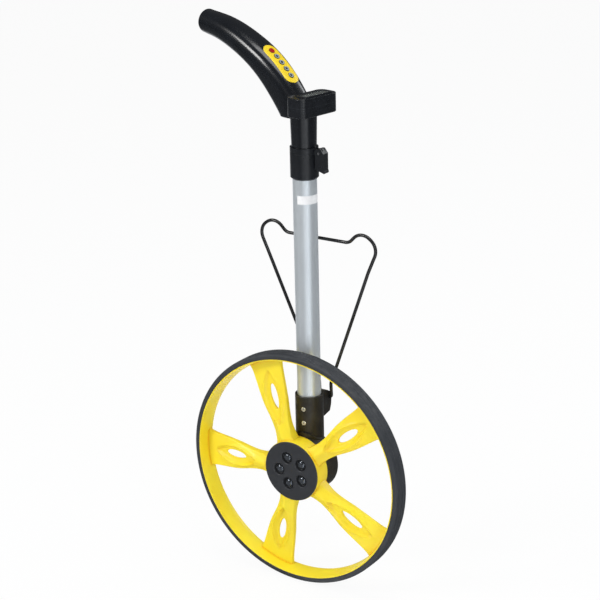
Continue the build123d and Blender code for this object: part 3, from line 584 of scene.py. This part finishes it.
# ---------------------------------------------------------------- hub cap
def hub_cap():
    """A disc with a rounded rim and five flared pockets."""
    flat_radius, rim_round, rim_y, face_rings = 39.4, 1.2, -14.4, 108
    outer = flat_radius + rim_round
    profile = [(r, rim_y - rim_round) for r in np.linspace(0.05, flat_radius, face_rings)]
    profile += [(flat_radius + rim_round * math.sin(q), rim_y - rim_round * math.cos(q))
                for q in np.linspace(0.15, math.pi / 2, 7)]
    profile += [(outer, -14.02), (40.2, -13.9), (36.0, -13.9), (35.9, -10.05), (0.05, -10.0)]

    def sink_pockets(x, y, z):
        face = np.s_[:, :face_rings]
        for pocket_x, pocket_z in SCREW_PLACES:
            away = np.hypot(x[face] - pocket_x, z[face] - pocket_z)
            # a deep well with a slight flare round its mouth
            y[face] += 3.75 * smooth_step(8.5, 6.9, away) + 0.25 * smooth_step(9.1, 8.3, away)

    return lathe(profile, segments=420, shape=sink_pockets)


add_wheel_part("hub_cap_disc", hub_cap(), cap_plastic, sharp_angle=60, replaces="hub_cap")


def dome_screw(x, z):
    """A domed screw with a flange and a shank, lying along Y."""
    radius, rise, dome_y = 5.1, 2.5, -12.85
    profile = [(0.02, dome_y - rise)]
    profile += [(radius * math.sin(q), dome_y - rise * math.cos(q))
                for q in np.linspace(0.10, math.pi / 2, 16)]
    profile += [(5.3, -12.75), (5.4, -12.5), (5.4, -11.75), (5.25, -11.63), (2.4, -11.63),
                (2.4, -0.9), (2.1, -0.8), (0.02, -0.8)]
    verts, faces = lathe(profile, segments=64)
    return verts + np.array([x * MM, 0, z * MM]), faces


add_wheel_part("dome_screws", join([dome_screw(x, z) for x, z in SCREW_PLACES]), dome_black,
               sharp_angle=45, replaces="hub_cap_screws")

# ---------------------------------------------------------------- tyre
# Front half, with a soft shoulder and a shallow groove: radius, y, corner radius (mm)
GROOVE_RADIUS = TYRE_RADIUS - 0.5
TYRE_HALF = [
    (151.85, -HALF_WIDTH + 0.5, 0.4), (153.2, -HALF_WIDTH, 0.8), (156.8, -HALF_WIDTH, 1.2),
    (158.9, -HALF_WIDTH + 2.3, 1.6), (TYRE_RADIUS, -4.6, 0.3), (GROOVE_RADIUS, -4.2, 0.2),
    (GROOVE_RADIUS, -3.6, 0.2), (TYRE_RADIUS, -3.2, 0.3)]
TYRE_PROFILE = TYRE_HALF + [(r, -y, corner) for r, y, corner in reversed(TYRE_HALF)]
add_wheel_part("tyre_skin", lathe(round_profile(TYRE_PROFILE, steps=3), segments=360), rubber,
               sharp_angle=40, replaces="tyre")


# ---------------------------------------------------------------- floor
def floor_material():
    """Pale floor, nearly white to the camera. In reflections it shows a painted reflection: a
    bright runway along one line through the pole, standing in for a strip light, and dark to its
    sides."""
    runway = math.radians(-48)
    made, tree, _, mapped = start_material("floor_pale")
    rays = add_node(tree, "ShaderNodeLightPath").outputs
    position = add_node(tree, "ShaderNodeNewGeometry").outputs["Position"]
    offset = vector_math(tree, "SUBTRACT", position, (0, POLE_Y, 0))
    heading = vector_math(tree, "NORMALIZE", offset)
    along = vector_math(tree, "DOT_PRODUCT", heading, (math.cos(runway), math.sin(runway), 0),
                        output="Value")
    on_runway = remap(tree, calculate(tree, "ABSOLUTE", along), 0.0, 1.0,
                      from_min=0.78, from_max=0.985, interpolation="SMOOTHSTEP")
    # Painted reflection: glossy rays see a bright runway and dark sides instead of a lamp.
    painted_reflection = mix_colour(tree, on_runway, (0.13, 0.135, 0.14), (0.95, 0.97, 1.0))
    colour = mix_colour(tree, rays["Is Glossy Ray"], (0.86, 0.87, 0.88), painted_reflection)
    shader = set_surface(tree, mapped, colour, rough=0.6)
    glow = add_node(tree, "ShaderNodeEmission", {"Color": (1, 1, 1, 1), "Strength": 1.0})
    blend = add_node(tree, "ShaderNodeMixShader", {
        0: calculate(tree, "MULTIPLY", rays["Is Camera Ray"], 0.93),
        1: shader.outputs[0], 2: glow.outputs[0]})
    tree.links.new(blend.outputs[0], tree.nodes["Material Output"].inputs["Surface"])
    return made


floor = bpy.data.objects.new("floor", bpy.data.meshes.new("floor"))
floor.data.from_pydata([(-6, -6, 0), (6, -6, 0), (6, 6, 0), (-6, 6, 0)], [], [(0, 1, 2, 3)])
SCENE.collection.objects.link(floor)
dress(floor, floor_material())
floor.location.z = -0.0002


# ---------------------------------------------------------------- world, lights, camera
def build_world():
    """White to the camera, dim in reflections, and otherwise brighter from overhead."""
    world = bpy.data.worlds.new("studio")
    SCENE.world = world
    world.use_nodes = True
    tree = world.node_tree
    rays = add_node(tree, "ShaderNodeLightPath").outputs
    direction = add_node(tree, "ShaderNodeTexCoord").outputs["Generated"]
    up = add_node(tree, "ShaderNodeSeparateXYZ", {0: direction}).outputs["Z"]
    strength = remap(tree, up, to_min=0.30, to_max=0.62, from_min=-0.3, from_max=1.0)
    strength = mix_value(tree, rays["Is Glossy Ray"], strength, 0.075)
    strength = mix_value(tree, rays["Is Camera Ray"], strength, 1.0)
    background = tree.nodes["Background"]
    tree.links.new(strength, background.inputs["Strength"])
    background.inputs["Color"].default_value = (0.985, 0.992, 1, 1)


def area_light(name, place, aim_z, width, power, colour=(1, 1, 1), height=None):
    """A rectangular light aimed at height aim_z above the origin; square with no height."""
    data = bpy.data.lights.new(name, "AREA")
    data.energy = power
    data.color = colour
    data.shape = "RECTANGLE"
    data.size = width
    data.size_y = height or width
    light = bpy.data.objects.new(name, data)
    SCENE.collection.objects.link(light)
    light.location = place
    aim = Vector((0, 0, aim_z)) - Vector(place)
    light.rotation_euler = aim.to_track_quat("-Z", "Y").to_euler()


build_world()
area_light("key", (-1.5, -2.2, 1.9), aim_z=0.35, width=0.9, power=40, colour=(1, 0.99, 0.97))
area_light("side_strip", (2.3, -1.4, 1.2), aim_z=0.45, width=0.35, height=1.8, power=17,
           colour=(0.93, 0.97, 1))
area_light("top", (0.3, -0.1, 2.6), aim_z=0.4, width=1.1, power=17)
area_light("back_strip", (0.9, 2.2, 1.5), aim_z=0.4, width=0.5, height=1.6, power=12,
           colour=(0.95, 0.98, 1))

camera_data = bpy.data.cameras.new("camera")
camera_data.sensor_width = 36.0
camera_data.lens = 105.576
camera = bpy.data.objects.new("camera", camera_data)
SCENE.collection.objects.link(camera)
# columns: the camera's right, up and backward directions
CAMERA_AXES = Matrix((
    (0.83, -0.1644, 0.533), (0.5574, 0.2806, -0.7814), (-0.0211, 0.9457, 0.3245)))
camera.rotation_mode = "QUATERNION"
camera.rotation_quaternion = CAMERA_AXES.to_quaternion()
camera.location = (1.1951, -1.7378, 1.1141)
SCENE.camera = camera
SCENE.view_settings.view_transform = "Standard"
